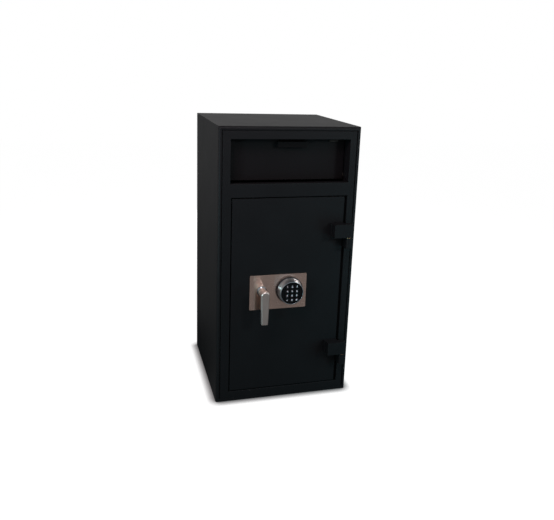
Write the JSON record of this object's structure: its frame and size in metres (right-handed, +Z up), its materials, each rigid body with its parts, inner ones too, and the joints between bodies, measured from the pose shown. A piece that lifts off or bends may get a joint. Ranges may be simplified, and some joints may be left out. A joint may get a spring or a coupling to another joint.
{
  "type": "deposit_safe",
  "caption": "Black floor-standing deposit safe with a tilting deposit drawer above a hinged door, round keypad lock and drop lever on a rose plate, external block hinges",
  "frame": {"origin": "On the floor under the middle of the casing; the casing spans x -0.25 to 0.25 and y -0.245 to 0.245.", "axes": "+X to the right seen from the front, +Y into the safe, +Z up. The front with door and drawer looks along -Y."},
  "size_m": [0.5, 0.55, 1],
  "materials": {
    "powder_black": "satin powder coat, nearly black, very slightly blue",
    "infill": "rough cast filling",
    "bare_steel": "milled steel",
    "zinc_steel": "bright zinc plate",
    "rose_plate": "brushed, rose coloured",
    "chrome": "polished",
    "satin_nickel": "satin nickel",
    "gloss_black": "glossy black",
    "key_plastic": null,
    "board": "green circuit board",
    "battery": "plain sleeve without print",
    "rubber": "matt",
    "brass": "turned"
  },
  "bodies": {
    "casing": {"outer_casing": "powder_black", "wall_infill": "infill", "inner_liner": "powder_black", "anchor_sleeves": "bare_steel", "front_frame": "powder_black", "door_stop_frame": "powder_black", "frame_hinge_blocks": "powder_black", "hinge_pins": "zinc_steel", "hinge_washers": "brass", "hopper_housing": "powder_black", "upper_baffle": "powder_black", "lower_baffle": "powder_black", "hopper_pivot_pins": "zinc_steel", "hopper_buffers": "rubber"},
    "drawer": {"drawer_panel": "powder_black", "drawer_pull": "powder_black", "drawer_tab": "powder_black", "drawer_end_plates": "powder_black", "drawer_slide_plate": "powder_black", "drawer_bushes": "brass"},
    "door": {"door_plate": "powder_black", "door_hinge_pads": "powder_black", "door_hinge_blocks": "powder_black", "escutcheon": "rose_plate", "lever_rosette": "chrome", "spindle_bush": "brass", "keypad_base": "gloss_black", "keypad_ring": "chrome", "keypad_face": "gloss_black", "keypad_board": "board", "keypad_battery": "battery", "lock_lead": "rubber", "door_chassis": "zinc_steel", "rear_cover": "powder_black", "cover_screws": "zinc_steel", "bolt_guides": "bare_steel", "hinge_side_bolts": "zinc_steel", "lock_case": "bare_steel", "lock_cover": "bare_steel", "lock_motor": "bare_steel", "lock_screws": "zinc_steel"},
    "lever": {"lever_handle": "satin_nickel", "lever_spindle": "zinc_steel", "crank_arm": "bare_steel", "crank_pin": "zinc_steel"},
    "carriage": {"bolt_carriage": "zinc_steel", "locking_bolts": "chrome"},
    "lock_slide": {"lock_bolt": "zinc_steel"},
    "button_1": {"key_1": "key_plastic"},
    "button_2": {"key_2": "key_plastic"},
    "button_3": {"key_3": "key_plastic"},
    "button_4": {"key_4": "key_plastic"},
    "button_5": {"key_5": "key_plastic"},
    "button_6": {"key_6": "key_plastic"},
    "button_7": {"key_7": "key_plastic"},
    "button_8": {"key_8": "key_plastic"},
    "button_9": {"key_9": "key_plastic"},
    "button_star": {"key_star": "key_plastic"},
    "button_0": {"key_0": "key_plastic"},
    "button_hash": {"key_hash": "key_plastic"}
  },
  "joints": [
    {"name": "door_hinge", "type": "hinge", "parent": "casing", "child": "door", "pos_m": [0.216, -0.272, 0.4], "axis": [0, 0, 1], "range_deg": [0, 110]},
    {"name": "drawer_tilt", "type": "hinge", "parent": "casing", "child": "drawer", "pos_m": [0.002, -0.183, 0.824], "axis": [1, 0, 0], "range_deg": [0, 75]},
    {"name": "lever_turn", "type": "hinge", "parent": "door", "child": "lever", "pos_m": [-0.09, -0.25, 0.422], "axis": [0, 1, 0], "range_deg": [0, 90]},
    {"name": "bolt_slide", "type": "slide", "parent": "door", "child": "carriage", "axis": [-1, 0, 0], "range_m": [0, 0.03]},
    {"name": "lock_bolt_slide", "type": "slide", "parent": "door", "child": "lock_slide", "axis": [0, 0, -1], "range_m": [0, 0.008]},
    {"name": "press_1", "type": "slide", "parent": "door", "child": "button_1", "axis": [0, 1, 0], "range_m": [0, 0.001], "stiffness_N_per_m": 800, "springref_m": -0.0005},
    {"name": "press_2", "type": "slide", "parent": "door", "child": "button_2", "axis": [0, 1, 0], "range_m": [0, 0.001], "stiffness_N_per_m": 800, "springref_m": -0.0005},
    {"name": "press_3", "type": "slide", "parent": "door", "child": "button_3", "axis": [0, 1, 0], "range_m": [0, 0.001], "stiffness_N_per_m": 800, "springref_m": -0.0005},
    {"name": "press_4", "type": "slide", "parent": "door", "child": "button_4", "axis": [0, 1, 0], "range_m": [0, 0.001], "stiffness_N_per_m": 800, "springref_m": -0.0005},
    {"name": "press_5", "type": "slide", "parent": "door", "child": "button_5", "axis": [0, 1, 0], "range_m": [0, 0.001], "stiffness_N_per_m": 800, "springref_m": -0.0005},
    {"name": "press_6", "type": "slide", "parent": "door", "child": "button_6", "axis": [0, 1, 0], "range_m": [0, 0.001], "stiffness_N_per_m": 800, "springref_m": -0.0005},
    {"name": "press_7", "type": "slide", "parent": "door", "child": "button_7", "axis": [0, 1, 0], "range_m": [0, 0.001], "stiffness_N_per_m": 800, "springref_m": -0.0005},
    {"name": "press_8", "type": "slide", "parent": "door", "child": "button_8", "axis": [0, 1, 0], "range_m": [0, 0.001], "stiffness_N_per_m": 800, "springref_m": -0.0005},
    {"name": "press_9", "type": "slide", "parent": "door", "child": "button_9", "axis": [0, 1, 0], "range_m": [0, 0.001], "stiffness_N_per_m": 800, "springref_m": -0.0005},
    {"name": "press_star", "type": "slide", "parent": "door", "child": "button_star", "axis": [0, 1, 0], "range_m": [0, 0.001], "stiffness_N_per_m": 800, "springref_m": -0.0005},
    {"name": "press_0", "type": "slide", "parent": "door", "child": "button_0", "axis": [0, 1, 0], "range_m": [0, 0.001], "stiffness_N_per_m": 800, "springref_m": -0.0005},
    {"name": "press_hash", "type": "slide", "parent": "door", "child": "button_hash", "axis": [0, 1, 0], "range_m": [0, 0.001], "stiffness_N_per_m": 800, "springref_m": -0.0005}
  ],
  "couplings": [
    {"joint": "lever_turn", "follows": "bolt_slide", "rad_per_m": 52.36},
    {"joint": "lock_bolt_slide", "follows": "bolt_slide", "ratio": 0.26667}
  ]
}
